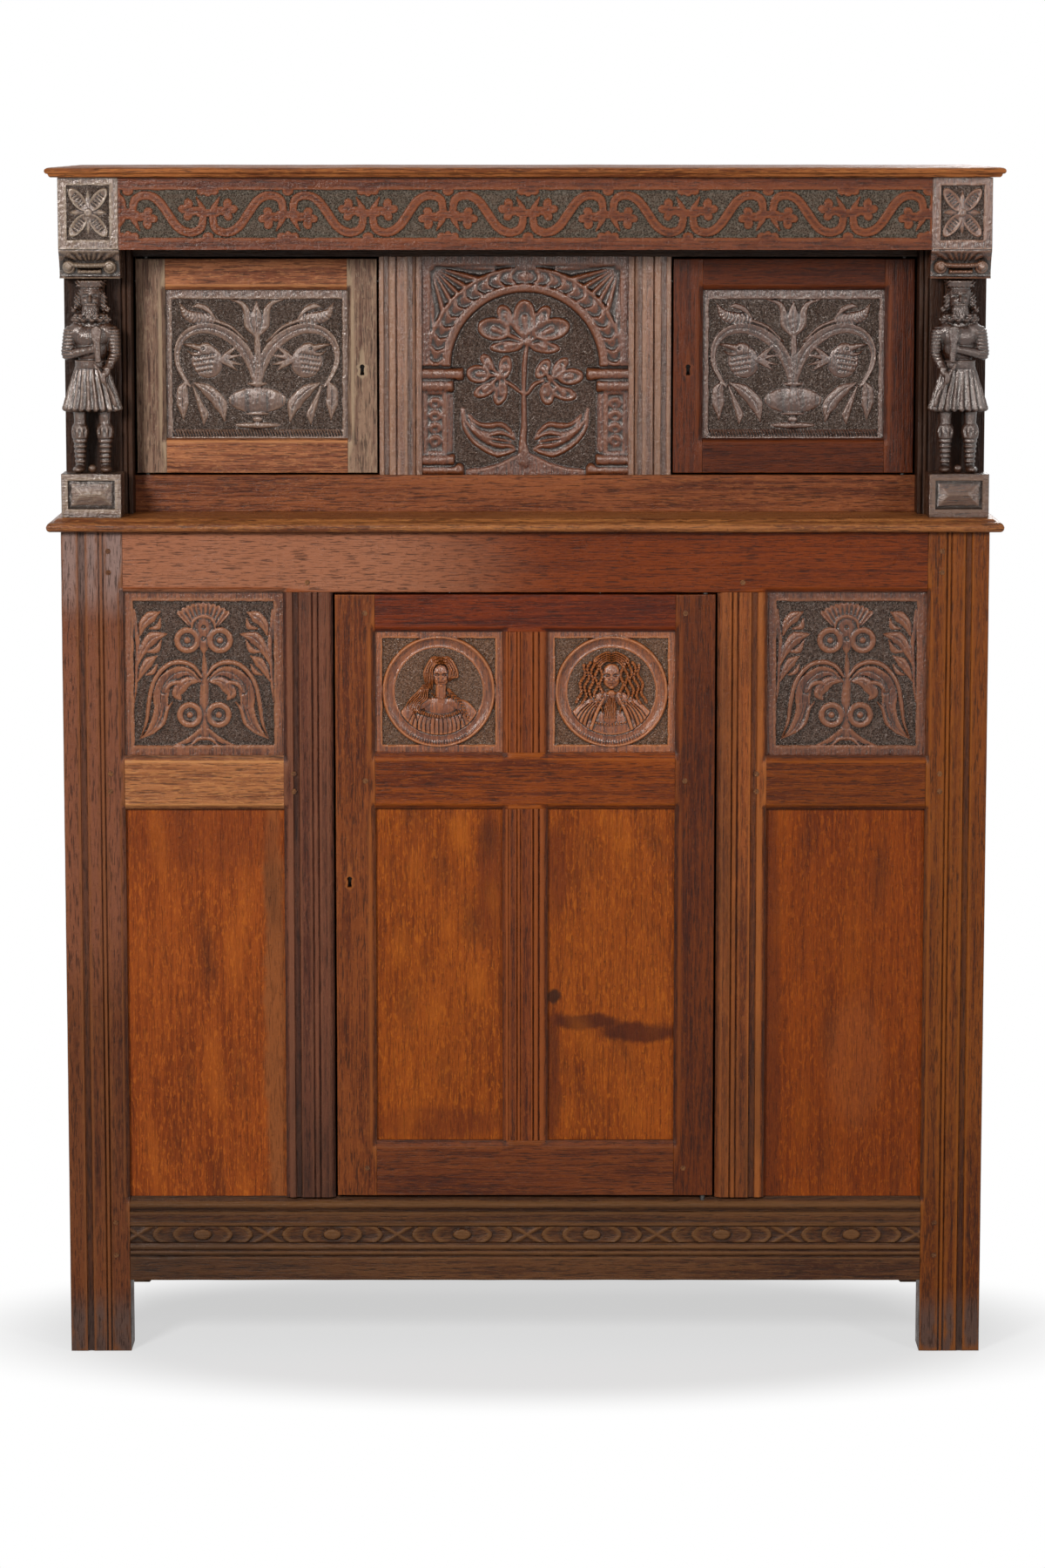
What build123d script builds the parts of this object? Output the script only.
"""A joined oak court cupboard, in millimetres.

The lower stage is a framed case with one panelled door. The upper stage stands back under a carved frieze
that two figures carry at the corners, with a small door on each side of a fixed arcaded panel. Rails are
tenoned into stiles, panels stand in grooves, and each door turns on iron pins let into its hinge stile.

The front faces -Y and the cupboard stands on Z = 0.
"""

import math
import os

from build123d import *

os.makedirs("parts", exist_ok=True)

# Case
case_width = 1300.0
case_depth = 470.0
shelf_overhang = 20.0
shelf_end_overhang = 18.5
top_overhang = 16.0
top_end_overhang = 15.0

# Heights from the floor up to the shelf
foot_height = 104.0
bottom_rail_height = 121.0
plain_opening_height = 559.0
mid_rail_height = 76.0
carved_opening_height = 231.0
top_rail_height = 86.0
shelf_thickness = 19.0

# Heights above the shelf
upper_height = 471.5
recess_rail_height = 52.0
upper_opening_height = 308.0
recess_top_rail_height = 40.0
frieze_height = 99.5
capital_height = 40.0
pedestal_height = 60.5
top_board_thickness = 14.5
soffit_thickness = 10.0

# Framing timbers
stile_width = 86.0
stile_depth = 60.0
rail_thickness = 32.0
muntin_width = 70.0
side_rail_thickness = 28.0
side_setback = 4.0
back_board_thickness = 12.0
post_width = 94.0
post_depth = 70.0
post_inset = 3.0
upper_back_stile_width = 60.0
upper_back_stile_depth = 40.0
upper_rail_thickness = 30.0
recess_depth = 105.0
recess_muntin_width = 60.5
arch_opening_width = 292.0
block_width = 84.0
block_setback = 3.0
block_corner = 9.0
peg_radius = 4.0
peg_proud = 0.4
peg_play = 0.05
peg_length = 26.0
peg_sides = 6

# Mouldings
flute_radius = 4.5
flute_offset = 28.5
bead_offset = 55.5
bead_width = 6.0
quirk_radius = 1.6
flute_sides = 6
foot_chamfer = 6.0
splay_side = 7.0
splay_head = 6.5
splay_sill = 9.0
splay_depth = 4.5

# Joints
groove_depth = 8.0
groove_setback = 11.0
tongue_thickness = 7.0
tongue_play = 0.5
panel_thickness = 12.0
field_margin = 4.0
field_bevel = 12.0
tenon_thickness = 10.0
tenon_setback = 11.0
tenon_length = 40.0
tenon_shoulder = 13.0
tenon_end_gap = 2.0
side_tenon_length = 28.0

# Lower door
lower_door_opening_width = 540.0
door_gap = 3.0
door_thickness = 26.0
door_stile_width = 56.0
door_bottom_rail_height = 79.5
door_plain_height = 477.0
door_mid_rail_height = 80.0
medallion_height = 171.0
door_muntin_width = 64.0
door_groove_setback = 9.0
door_panel_thickness = 10.0
medallion_ring_radius = 82.0
medallion_ring_width = 19.0
medallion_sink = 4.0
medallion_margin = 3.0
ring_sides = 24

# Upper doors
upper_door_thickness = 24.0
upper_door_stile_width = 42.0
upper_door_bottom_rail_height = 49.0
upper_door_top_rail_height = 44.0

# Hinge pins
pin_radius = 4.0
pin_play = 0.06
pin_inset = 14.0
pin_setback = 9.0
pin_in_door = 24.0
pin_in_rail = 9.0
pin_end_gap = 2.0
hinge_chamfer = 3.0

# Locks
lock_width = 28.0
lock_height = 60.0
lock_depth = 11.0
lock_inset = 4.0
lock_wall = 1.5
bolt_thickness = 5.0
bolt_height = 14.0
bolt_length = 26.0
bolt_play = 0.3
bolt_travel = 9.0
bolt_withdrawn = 1.0
lower_keyhole_inset = 19.0
upper_keyhole_inset = 21.0
lower_keyhole_height = 681.0
upper_keyhole_height = 1397.5
keyhole_radius = 2.6
keyhole_slot_width = 2.6
keyhole_slot_length = 8.0

# Inside
floor_board_thickness = 14.0
floor_board_count = 5
floor_rebate = 11.0
back_board_count = 5
board_gap = 0.5
upper_back_board_count = 3
inner_shelf_height = 640.0
inner_shelf_thickness = 18.0
inner_shelf_setback = 20.0
cleat_width = 26.0
cleat_height = 30.0

# Carved pieces
figure_width = 80.0
figure_depth = 60.0
figure_sides = 8
limb_sides = 6
relief = 8.0
scroll_sides = 10
arch_radius = 134.0
arch_band = 29.0
arch_centre_height = 1401.0
arch_gouges = 19
arch_sides = 32
gouge_radius = 8.0
gouge_depth = 4.0
pilaster_width = 34.0
pilaster_capital_height = 33.0
pilaster_base_height = 31.0
pilaster_cap_projection = 14.0
nulling_repeat = 187.0

# Planes that follow from the sizes
case_half = case_width / 2
front = shelf_overhang / 2 - case_depth / 2
back = front + case_depth
bay_edge = case_half - stile_width
rail_back = front + rail_thickness
z_plain = foot_height + bottom_rail_height
z_mid = z_plain + plain_opening_height
z_carved = z_mid + mid_rail_height
z_top_rail = z_carved + carved_opening_height
z_case = z_top_rail + top_rail_height
z_upper = z_case + shelf_thickness
z_recess = z_upper + recess_rail_height
z_recess_top = z_recess + upper_opening_height
z_soffit = z_recess_top + recess_top_rail_height
z_canopy = z_upper + upper_height
z_frieze = z_canopy - frieze_height
z_capital = z_frieze - capital_height
z_pedestal = z_upper + pedestal_height
z_top = z_canopy + top_board_thickness
door_half = lower_door_opening_width / 2
muntin_outer = door_half + muntin_width
side_face = case_half - side_setback
side_inner = side_face - side_rail_thickness
recess_face = front + recess_depth
recess_back = recess_face + upper_rail_thickness
post_outer = case_half - post_inset
post_inner = post_outer - post_width
post_back = recess_back
post_face = post_back - post_depth
arch_half = arch_opening_width / 2
recess_muntin_outer = arch_half + recess_muntin_width
block_outer = case_half - block_setback / 2
block_inner = block_outer - block_width
block_face = front + block_setback
upper_side_inner = post_outer - side_rail_thickness

sides = (("left", -1), ("right", 1))


def span(a, b):
    """The two values in rising order."""
    return (min(a, b), max(a, b))


def block(x, y, z, mode=Mode.ADD):
    """A squared timber, tenon or cut between two values on each axis."""
    with Locations(((x[0] + x[1]) / 2, (y[0] + y[1]) / 2, (z[0] + z[1]) / 2)):
        Box(x[1] - x[0], y[1] - y[0], z[1] - z[0], mode=mode)


def rod(x, z, y, radius, mode=Mode.ADD):
    """A round boss or hole that runs front to back between two depths."""
    with Locations((x, (y[0] + y[1]) / 2, z)):
        Cylinder(radius, y[1] - y[0], rotation=(90, 0, 0), mode=mode)


def facets(x, z, y, radius, mode=Mode.ADD, sides=peg_sides):
    """A faceted peg, the hole it is driven into, or a boss cut with a few flats."""
    with BuildSketch(Plane.XZ.offset(-y[1])) as end:
        with Locations((x, z)):
            RegularPolygon(radius, sides)
    extrude(end.sketch, amount=y[1] - y[0], mode=mode)


def pane(y, x, z):
    """An upright rectangle that faces the front, at depth y."""
    with BuildSketch(Plane.XZ.offset(-y)) as upright:
        with Locations(((x[0] + x[1]) / 2, (z[0] + z[1]) / 2)):
            Rectangle(x[1] - x[0], z[1] - z[0])
    return upright.sketch


def splay(face, x, z, sill=splay_sill):
    """The chamfer round a panel opening, mitred at its corners as a mason cuts it."""
    wide = pane(face, (x[0] - splay_side, x[1] + splay_side), (z[0] - sill, z[1] + splay_head))
    loft(sections=[wide, pane(face + splay_depth, x, z)], mode=Mode.SUBTRACT)


def groove(face, x, z, setback=groove_setback):
    """The panel groove round an opening."""
    y = (face + setback, face + setback + tongue_thickness)
    deep_x = (x[0] - groove_depth, x[1] + groove_depth)
    deep_z = (z[0] - groove_depth, z[1] + groove_depth)
    block(deep_x, y, deep_z, Mode.SUBTRACT)


def riven_panel(face, x, z, thickness=panel_thickness, setback=groove_setback):
    """A panel with a tongue all round for its groove and a bevelled field at the back."""
    reach = groove_depth - tongue_play
    front_y = face + setback
    tongue_y = (front_y, front_y + tongue_thickness)
    block((x[0] - reach, x[1] + reach), tongue_y, (z[0] - reach, z[1] + reach))
    near = field_margin
    far = field_margin + field_bevel
    field = pane(tongue_y[1], (x[0] + near, x[1] - near), (z[0] + near, z[1] - near))
    back_field = pane(front_y + thickness, (x[0] + far, x[1] - far), (z[0] + far, z[1] - far))
    loft(sections=[field, back_field])


def lozenge(across, up):
    """A six-sided leaf or nut shape with a cut outline, drawn where the sketch stands."""
    half = across / 2
    Polygon((across, 0), (half, up), (-half, up), (-across, 0), (-half, -up), (half, -up))


def tenon_y(face):
    """The depths of a tenon behind a frame's face."""
    return (face + tenon_setback, face + tenon_setback + tenon_thickness)


def tenon_z(z):
    """The part of a rail's height that its tenon takes."""
    return (z[0] + tenon_shoulder, z[1] - tenon_shoulder)


def peg_heights(z):
    """One peg for a narrow rail's tenon and two for a wide one."""
    low, high = tenon_z(z)
    if high - low < stile_width / 2:
        return ((low + high) / 2,)
    return (low + (high - low) / 4, high - (high - low) / 4)


def hollow(x, face, z, radius):
    """A small hollow run with a plane down an upright's face."""
    with BuildSketch(Plane.XY.offset(z[0])) as end:
        with Locations((x, face)):
            RegularPolygon(radius, flute_sides)
    extrude(end.sketch, amount=z[1] - z[0], mode=Mode.SUBTRACT)


def flutes(face, outer, sign, z):
    """The run mouldings on an upright's face: a flute and a quirked bead."""
    quirks = (bead_offset - bead_width / 2, bead_offset + bead_width / 2)
    run = ((flute_offset, flute_radius), (quirks[0], quirk_radius), (quirks[1], quirk_radius))
    for offset, radius in run:
        hollow(sign * (outer - offset), face, z, radius)


def keyhole(x, z, y):
    """A keyhole, round above and slotted below."""
    rod(x, z, y, keyhole_radius, Mode.SUBTRACT)
    half = keyhole_slot_width / 2
    block((x - half, x + half), y, (z - keyhole_slot_length, z), Mode.SUBTRACT)


def write(part, name):
    """Labels a finished piece and writes it."""
    part.label = name
    export_step(part, f"parts/{name}.step")


# Openings of the lower stage and the heights of its rails
rail_bands = {
    "bottom": (foot_height, z_plain),
    "mid": (z_mid, z_carved),
    "top": (z_top_rail, z_case),
}
plain_z = (z_plain, z_mid)
carved_z = (z_carved, z_top_rail)
case_pegs = []


def side_bay(sign):
    """The width of a side bay between its stile and its muntin."""
    return span(sign * muntin_outer, sign * bay_edge)


# ------------------------------------------------------------------ lower stage: uprights
side_tenon_x = (side_face - tenon_setback, side_face - tenon_setback + tenon_thickness)
side_mortice_front = (front + stile_depth - side_tenon_length - tenon_end_gap, front + stile_depth)
side_mortice_back = (back - stile_depth, back - stile_depth + side_tenon_length + tenon_end_gap)
side_groove_x = (side_face - groove_setback - tongue_thickness, side_face - groove_setback)
side_bay_y = (front + stile_depth, back - stile_depth)
back_rail_face = back - back_board_thickness - rail_thickness

for side, sign in sides:
    with BuildPart() as lower_front_stile:
        block(span(sign * bay_edge, sign * case_half), (front, front + stile_depth), (0, z_case))
        toes = lower_front_stile.edges().filter_by(Axis.Y).group_by(Axis.Z)[0]
        chamfer(toes, foot_chamfer)
        flutes(front, case_half, sign, (0, z_case))
        splay(front, side_bay(sign), plain_z)
        splay(front, side_bay(sign), carved_z)
        groove(front, side_bay(sign), plain_z)
        groove(front, side_bay(sign), carved_z)
        for band in rail_bands.values():
            mortice = span(sign * bay_edge, sign * (bay_edge + tenon_length + tenon_end_gap))
            block(mortice, tenon_y(front), tenon_z(band), Mode.SUBTRACT)
            block(span(*(sign * x for x in side_tenon_x)), side_mortice_front, tenon_z(band), Mode.SUBTRACT)
            for height in peg_heights(band):
                peg_x = sign * (bay_edge + tenon_length / 2)
                facets(peg_x, height, (front, front + peg_length), peg_radius + peg_play, Mode.SUBTRACT)
                case_pegs.append((peg_x, height, front))
        for z in (plain_z, carved_z):
            y = (side_bay_y[0] - groove_depth, side_bay_y[0])
            x = span(*(sign * value for value in side_groove_x))
            block(x, y, (z[0] - groove_depth, z[1] + groove_depth), Mode.SUBTRACT)
    write(lower_front_stile.part, f"lower_front_stile_{side}")

with BuildPart() as lower_back_stiles:
    for side, sign in sides:
        block(span(sign * bay_edge, sign * case_half), (back - stile_depth, back), (0, z_case))
    toes = lower_back_stiles.edges().filter_by(Axis.Y).group_by(Axis.Z)[0]
    chamfer(toes, foot_chamfer)
    for side, sign in sides:
        for band in rail_bands.values():
            block(span(*(sign * x for x in side_tenon_x)), side_mortice_back, tenon_z(band), Mode.SUBTRACT)
        for name in ("bottom", "top"):
            mortice = span(sign * bay_edge, sign * (bay_edge + side_tenon_length + tenon_end_gap))
            y = (back_rail_face + groove_setback, back_rail_face + groove_setback + tenon_thickness)
            block(mortice, y, tenon_z(rail_bands[name]), Mode.SUBTRACT)
        for z in (plain_z, carved_z):
            y = (side_bay_y[1], side_bay_y[1] + groove_depth)
            x = span(*(sign * value for value in side_groove_x))
            block(x, y, (z[0] - groove_depth, z[1] + groove_depth), Mode.SUBTRACT)
write(lower_back_stiles.part, "lower_back_stiles")

# ------------------------------------------------------------------ lower stage: front rails
lower_pin = (door_half - door_gap - pin_inset, front + pin_setback)
bolt_y = (front + door_thickness - lock_depth + lock_wall + bolt_play, 0)


def pin_bore(x, y, z):
    """The bore in a rail that a door's hinge pin turns in."""
    with Locations((x, y, (z[0] + z[1]) / 2)):
        Cylinder(pin_radius + pin_play, z[1] - z[0], mode=Mode.SUBTRACT)


muntin_tenon_x = (door_half + tenon_shoulder, muntin_outer - tenon_shoulder)
muntin_peg_x = (door_half + muntin_outer) / 2

with BuildPart() as lower_top_rail:
    block((-bay_edge, bay_edge), (front, rail_back), rail_bands["top"])
    door_bay = (-door_half, door_half)
    for bay in (side_bay(-1), door_bay, side_bay(1)):
        splay(front, bay, carved_z)
    for side, sign in sides:
        groove(front, side_bay(sign), carved_z)
        tenon = span(sign * bay_edge, sign * (bay_edge + tenon_length))
        block(tenon, tenon_y(front), tenon_z(rail_bands["top"]))
        for height in peg_heights(rail_bands["top"]):
            facets(sign * (bay_edge + tenon_length / 2), height, (front, front + peg_length),
                   peg_radius + peg_play, Mode.SUBTRACT)
        mortice_z = (z_top_rail, z_top_rail + side_tenon_length + tenon_end_gap)
        block(span(*(sign * x for x in muntin_tenon_x)), tenon_y(front), mortice_z, Mode.SUBTRACT)
        peg = (sign * muntin_peg_x, z_top_rail + side_tenon_length / 2, front)
        facets(peg[0], peg[1], (front, front + peg_length), peg_radius + peg_play, Mode.SUBTRACT)
        case_pegs.append(peg)
    pin_bore(*lower_pin, (z_top_rail, z_top_rail + door_gap + pin_in_rail + pin_end_gap))
write(lower_top_rail.part, "lower_top_rail")

# The bottom rail's section, as depth behind the face and height above the rail's lower edge
band_low = 55.0
band_high = 77.5
band_sink = 4.0
plain_height = 33.0
reed_height = 9.0
reed_depth = 2.5
sill_run = 10.0
sill_rise = 10.0
fillet_height = 92.0
cove_depth = 3.5
cove_top = 107.0

with BuildPart() as lower_bottom_rail:
    with BuildSketch(Plane.YZ.offset(-bay_edge)) as rail_section:
        with BuildLine():
            start = (front, foot_height)
            Line((rail_back, foot_height), start)
            Line(start, (front, foot_height + plain_height))
            Line((front, foot_height + plain_height), (front + reed_depth, foot_height + plain_height))
            low = foot_height + plain_height
            for step in (0, 1):
                foot = low + step * reed_height
                Polyline((front + reed_depth, foot), (front, foot + reed_height / 2),
                         (front + reed_depth, foot + reed_height))
            crown = low + 2 * reed_height
            Line((front + reed_depth, crown), (front + band_sink, foot_height + band_low))
            Line((front + band_sink, foot_height + band_low), (front + band_sink, foot_height + band_high))
            Line((front + band_sink, foot_height + band_high), (front, foot_height + band_high))
            Line((front, foot_height + band_high), (front, foot_height + fillet_height))
            Polyline((front, foot_height + fillet_height),
                     (front + cove_depth, foot_height + (fillet_height + cove_top) / 2),
                     (front, foot_height + cove_top))
            Line((front, foot_height + cove_top), (front, z_plain - sill_rise))
            Line((front, z_plain - sill_rise), (front + sill_run, z_plain))
            Line((front + sill_run, z_plain), (rail_back, z_plain))
            Line((rail_back, z_plain), (rail_back, foot_height))
        make_face()
    extrude(amount=2 * bay_edge)
    # The nulled band: ovals between pairs of crescents
    band_middle = foot_height + (band_low + band_high) / 2
    for index in range(6):
        centre = (index - 2.5) * nulling_repeat
        with BuildSketch(Plane.XZ.offset(-(front + band_sink))) as ovals:
            with Locations((centre, band_middle)):
                lozenge(15, 8)
            for offset, width in ((35, 12), (56, 8), (-35, 12), (-56, 8)):
                with Locations((centre + offset, band_middle)):
                    lozenge(width / 2, 9)
        extrude(amount=band_sink - 0.5)
    for side, sign in sides:
        groove(front, side_bay(sign), plain_z)
        tenon = span(sign * bay_edge, sign * (bay_edge + tenon_length))
        block(tenon, tenon_y(front), tenon_z(rail_bands["bottom"]))
        for height in peg_heights(rail_bands["bottom"]):
            facets(sign * (bay_edge + tenon_length / 2), height, (front, front + peg_length),
                   peg_radius + peg_play, Mode.SUBTRACT)
        mortice_z = (z_plain - side_tenon_length - tenon_end_gap, z_plain)
        block(span(*(sign * x for x in muntin_tenon_x)), tenon_y(front), mortice_z, Mode.SUBTRACT)
    rebate_z = (z_plain - floor_board_thickness - sill_rise, z_plain)
    block((-bay_edge, bay_edge), (rail_back - floor_rebate, rail_back), rebate_z, Mode.SUBTRACT)
    pin_bore(*lower_pin, (z_plain - pin_in_rail - pin_end_gap, z_plain))
write(lower_bottom_rail.part, "lower_bottom_rail")

with BuildPart() as lower_mid_rails:
    for side, sign in sides:
        x = side_bay(sign)
        block(x, (front, rail_back), rail_bands["mid"])
        for z in (plain_z, carved_z):
            splay(front, x, z)
            groove(front, x, z)
        outer = span(sign * bay_edge, sign * (bay_edge + tenon_length))
        inner = span(sign * (muntin_outer - side_tenon_length), sign * muntin_outer)
        block(outer, tenon_y(front), tenon_z(rail_bands["mid"]))
        block(inner, tenon_y(front), tenon_z(rail_bands["mid"]))
        for height in peg_heights(rail_bands["mid"]):
            for peg_x in (bay_edge + tenon_length / 2, muntin_outer - side_tenon_length / 2):
                hole_y = (front, front + peg_length)
                facets(sign * peg_x, height, hole_y, peg_radius + peg_play, Mode.SUBTRACT)
write(lower_mid_rails.part, "lower_mid_rails")

# ------------------------------------------------------------------ lower stage: muntins
muntin_bead_offset = 45.0
lower_key_x = -(door_half - door_gap - lower_keyhole_inset)
lock_cavity_y = (front + door_thickness - lock_depth + lock_wall, front + door_thickness - lock_wall)
lower_bolt_y = (lock_cavity_y[0] + bolt_play, lock_cavity_y[0] + bolt_play + bolt_thickness)

with BuildPart() as lower_muntins:
    for side, sign in sides:
        block(span(sign * door_half, sign * muntin_outer), (front, rail_back), (z_plain, z_top_rail))
        for offset, radius in ((18.0, flute_radius), (muntin_bead_offset - 4, quirk_radius),
                               (muntin_bead_offset + 4, quirk_radius)):
            hollow(sign * (muntin_outer - offset), front, (z_plain, z_top_rail), radius)
        arris = lower_muntins.edges().filter_by(Axis.Z).filter_by_position(Axis.Y, front, front)
        arris = arris.filter_by_position(Axis.X, sign * door_half, sign * door_half)
        chamfer(arris, splay_depth)
        for z in (plain_z, carved_z):
            splay(front, side_bay(sign), z)
            groove(front, side_bay(sign), z)
        mortice = span(sign * (muntin_outer - side_tenon_length - tenon_end_gap), sign * muntin_outer)
        block(mortice, tenon_y(front), tenon_z(rail_bands["mid"]), Mode.SUBTRACT)
        for height in peg_heights(rail_bands["mid"]):
            peg = (sign * (muntin_outer - side_tenon_length / 2), height, front)
            facets(peg[0], peg[1], (front, front + peg_length), peg_radius + peg_play, Mode.SUBTRACT)
            case_pegs.append(peg)
        for z in ((z_plain - side_tenon_length, z_plain), (z_top_rail, z_top_rail + side_tenon_length)):
            block(span(*(sign * x for x in muntin_tenon_x)), tenon_y(front), z)
        facets(sign * muntin_peg_x, z_top_rail + side_tenon_length / 2, (front, front + peg_length),
               peg_radius + peg_play, Mode.SUBTRACT)
    strike = (-(door_half + bolt_travel), -door_half)
    strike_y = (lower_bolt_y[0] - bolt_play, lower_bolt_y[1] + bolt_play)
    strike_half = bolt_height / 2 + bolt_play
    strike_z = (lower_keyhole_height - strike_half, lower_keyhole_height + strike_half)
    block(strike, strike_y, strike_z, Mode.SUBTRACT)
write(lower_muntins.part, "lower_muntins")

# ------------------------------------------------------------------ lower stage: front panels
for side, sign in sides:
    with BuildPart() as carved_panel:
        x = side_bay(sign)
        riven_panel(front, x, carved_z)
        sunk_x = (x[0] + 13, x[1] - 13)
        sunk_z = (carved_z[0] + 13, carved_z[1] - 13)
        panel_face = front + groove_setback
        block(sunk_x, (panel_face, panel_face + 4), sunk_z, Mode.SUBTRACT)
        middle = (x[0] + x[1]) / 2
        # The stem, its two arching leaves, four volutes and the shell at its head
        block((middle - 6, middle + 6), (panel_face, panel_face + 4), (sunk_z[0], sunk_z[0] + 172))
        for way in (-1, 1):
            for height in (45, 155):
                centre = (middle + way * 22, sunk_z[0] + height)
                facets(*centre, (panel_face, panel_face + 4), 21, sides=scroll_sides)
            with BuildSketch(Plane.XZ.offset(-(panel_face + 4))) as leaf:
                with BuildLine():
                    tip = (middle + way * 92, sunk_z[0] + 12)
                    root = (middle + way * 5, sunk_z[0] + 85)
                    ThreePointArc(root, (middle + way * 62, sunk_z[0] + 112), tip)
                    ThreePointArc(tip, (middle + way * 38, sunk_z[0] + 78), root)
                make_face()
            extrude(amount=4)
        with BuildSketch(Plane.XZ.offset(-(panel_face + 4))) as shell:
            with BuildLine():
                base = (middle, sunk_z[0] + 150)
                left_tip = (middle - 38, sunk_z[0] + 188)
                right_tip = (middle + 38, sunk_z[0] + 188)
                Line(base, left_tip)
                ThreePointArc(left_tip, (middle, sunk_z[0] + 203), right_tip)
                Line(right_tip, base)
            make_face()
        extrude(amount=4)
    write(carved_panel.part, f"carved_panel_{side}")

with BuildPart() as plain_panels:
    for side, sign in sides:
        riven_panel(front, side_bay(sign), plain_z)
write(plain_panels.part, "plain_panels")

# ------------------------------------------------------------------ lower stage: sides and back
with BuildPart() as lower_side_rails:
    for side, sign in sides:
        for name, band in rail_bands.items():
            block(span(sign * side_inner, sign * side_face), side_bay_y, band)
            y = (side_bay_y[0] - side_tenon_length, side_bay_y[1] + side_tenon_length)
            block(span(*(sign * x for x in side_tenon_x)), y, tenon_z(band))
        for z in (plain_z, carved_z):
            groove_x = span(*(sign * x for x in side_groove_x))
            block(groove_x, side_bay_y, (z[0] - groove_depth, z[1] + groove_depth), Mode.SUBTRACT)
        ledge = span(sign * side_inner, sign * (side_inner + floor_rebate / 2))
        ledge_z = (z_plain - sill_rise - floor_board_thickness, z_plain)
        block(ledge, side_bay_y, ledge_z, Mode.SUBTRACT)
write(lower_side_rails.part, "lower_side_rails")

with BuildPart() as lower_side_panels:
    reach = groove_depth - tongue_play
    for side, sign in sides:
        for z in (plain_z, carved_z):
            y = (side_bay_y[0] - reach, side_bay_y[1] + reach)
            block(span(*(sign * x for x in side_groove_x)), y, (z[0] - reach, z[1] + reach))
write(lower_side_panels.part, "lower_side_panels")

with BuildPart() as lower_back_rails:
    for name in ("bottom", "top"):
        band = rail_bands[name]
        block((-bay_edge, bay_edge), (back_rail_face, back - back_board_thickness), band)
        y = (back_rail_face + groove_setback, back_rail_face + groove_setback + tenon_thickness)
        reach = bay_edge + side_tenon_length
        block((-reach, reach), y, tenon_z(band))
    rebate_y = (back_rail_face, back_rail_face + floor_rebate)
    rebate_z = (z_plain - floor_board_thickness - sill_rise, z_plain)
    block((-bay_edge, bay_edge), rebate_y, rebate_z, Mode.SUBTRACT)
write(lower_back_rails.part, "lower_back_rails")

with BuildPart() as lower_back_boards:
    board_width = 2 * bay_edge / back_board_count
    for index in range(back_board_count):
        left = -bay_edge + index * board_width
        right = left + board_width - board_gap
        block((left, right), (back - back_board_thickness, back), (foot_height, z_case))
write(lower_back_boards.part, "lower_back_boards")

floor_z = (z_plain - sill_rise - floor_board_thickness, z_plain - sill_rise)
with BuildPart() as floor_boards:
    floor_half = side_inner + floor_rebate / 2
    board_width = 2 * floor_half / floor_board_count
    for index in range(floor_board_count):
        left = -floor_half + index * board_width
        y = (rail_back - floor_rebate, back_rail_face + floor_rebate)
        block((left, left + board_width - board_gap), y, floor_z)
    for side, sign in sides:
        x = span(sign * bay_edge, sign * case_half)
        block(x, (front, side_bay_y[0]), floor_z, Mode.SUBTRACT)
        block(x, (side_bay_y[1], back), floor_z, Mode.SUBTRACT)
write(floor_boards.part, "floor_boards")

shelf_z = (inner_shelf_height, inner_shelf_height + inner_shelf_thickness)
with BuildPart() as inner_shelf:
    block((-side_inner, side_inner), (rail_back + inner_shelf_setback, back - back_board_thickness), shelf_z)
    for side, sign in sides:
        x = span(sign * bay_edge, sign * case_half)
        block(x, (front, side_bay_y[0]), shelf_z, Mode.SUBTRACT)
        block(x, (side_bay_y[1], back), shelf_z, Mode.SUBTRACT)
write(inner_shelf.part, "inner_shelf")

with BuildPart() as inner_shelf_cleats:
    for side, sign in sides:
        x = span(sign * (side_inner - cleat_width), sign * side_inner)
        block(x, side_bay_y, (inner_shelf_height - cleat_height, inner_shelf_height))
write(inner_shelf_cleats.part, "inner_shelf_cleats")

# ------------------------------------------------------------------ lower door
door_x = door_half - door_gap
door_z = (z_plain + door_gap, z_top_rail - door_gap)
door_inner = door_x - door_stile_width
door_muntin_half = door_muntin_width / 2
door_plain_z = (door_z[0] + door_bottom_rail_height, door_z[0] + door_bottom_rail_height + door_plain_height)
medallion_low = door_plain_z[1] + door_mid_rail_height
medallion_z = (medallion_low, medallion_low + medallion_height)
door_bands = {
    "bottom": (door_z[0], door_plain_z[0]),
    "mid": (door_plain_z[1], medallion_z[0]),
    "top": (medallion_z[1], door_z[1]),
}
door_back = front + door_thickness
door_tenon_y = (front + door_groove_setback + 1, front + door_groove_setback + 9)
door_tenon_length = 32.0
door_peg_inset = 14.0
door_peg_length = 20.0
door_pegs = []


def door_light(sign):
    """The width of a door panel's opening."""
    return span(sign * door_muntin_half, sign * door_inner)


def shape_door_member():
    """Cuts the splays and grooves of the four door panels into a member."""
    for sign in (-1, 1):
        for z in (door_plain_z, medallion_z):
            splay(front, door_light(sign), z)
            groove(front, door_light(sign), z, door_groove_setback)


def door_peg_holes():
    """Drills a member for the pegs of the door's tenons."""
    for sign in (-1, 1):
        for band in door_bands.values():
            x = sign * (door_inner + door_peg_inset)
            z = (band[0] + band[1]) / 2
            facets(x, z, (front, front + door_peg_length), peg_radius + peg_play, Mode.SUBTRACT)


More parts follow.
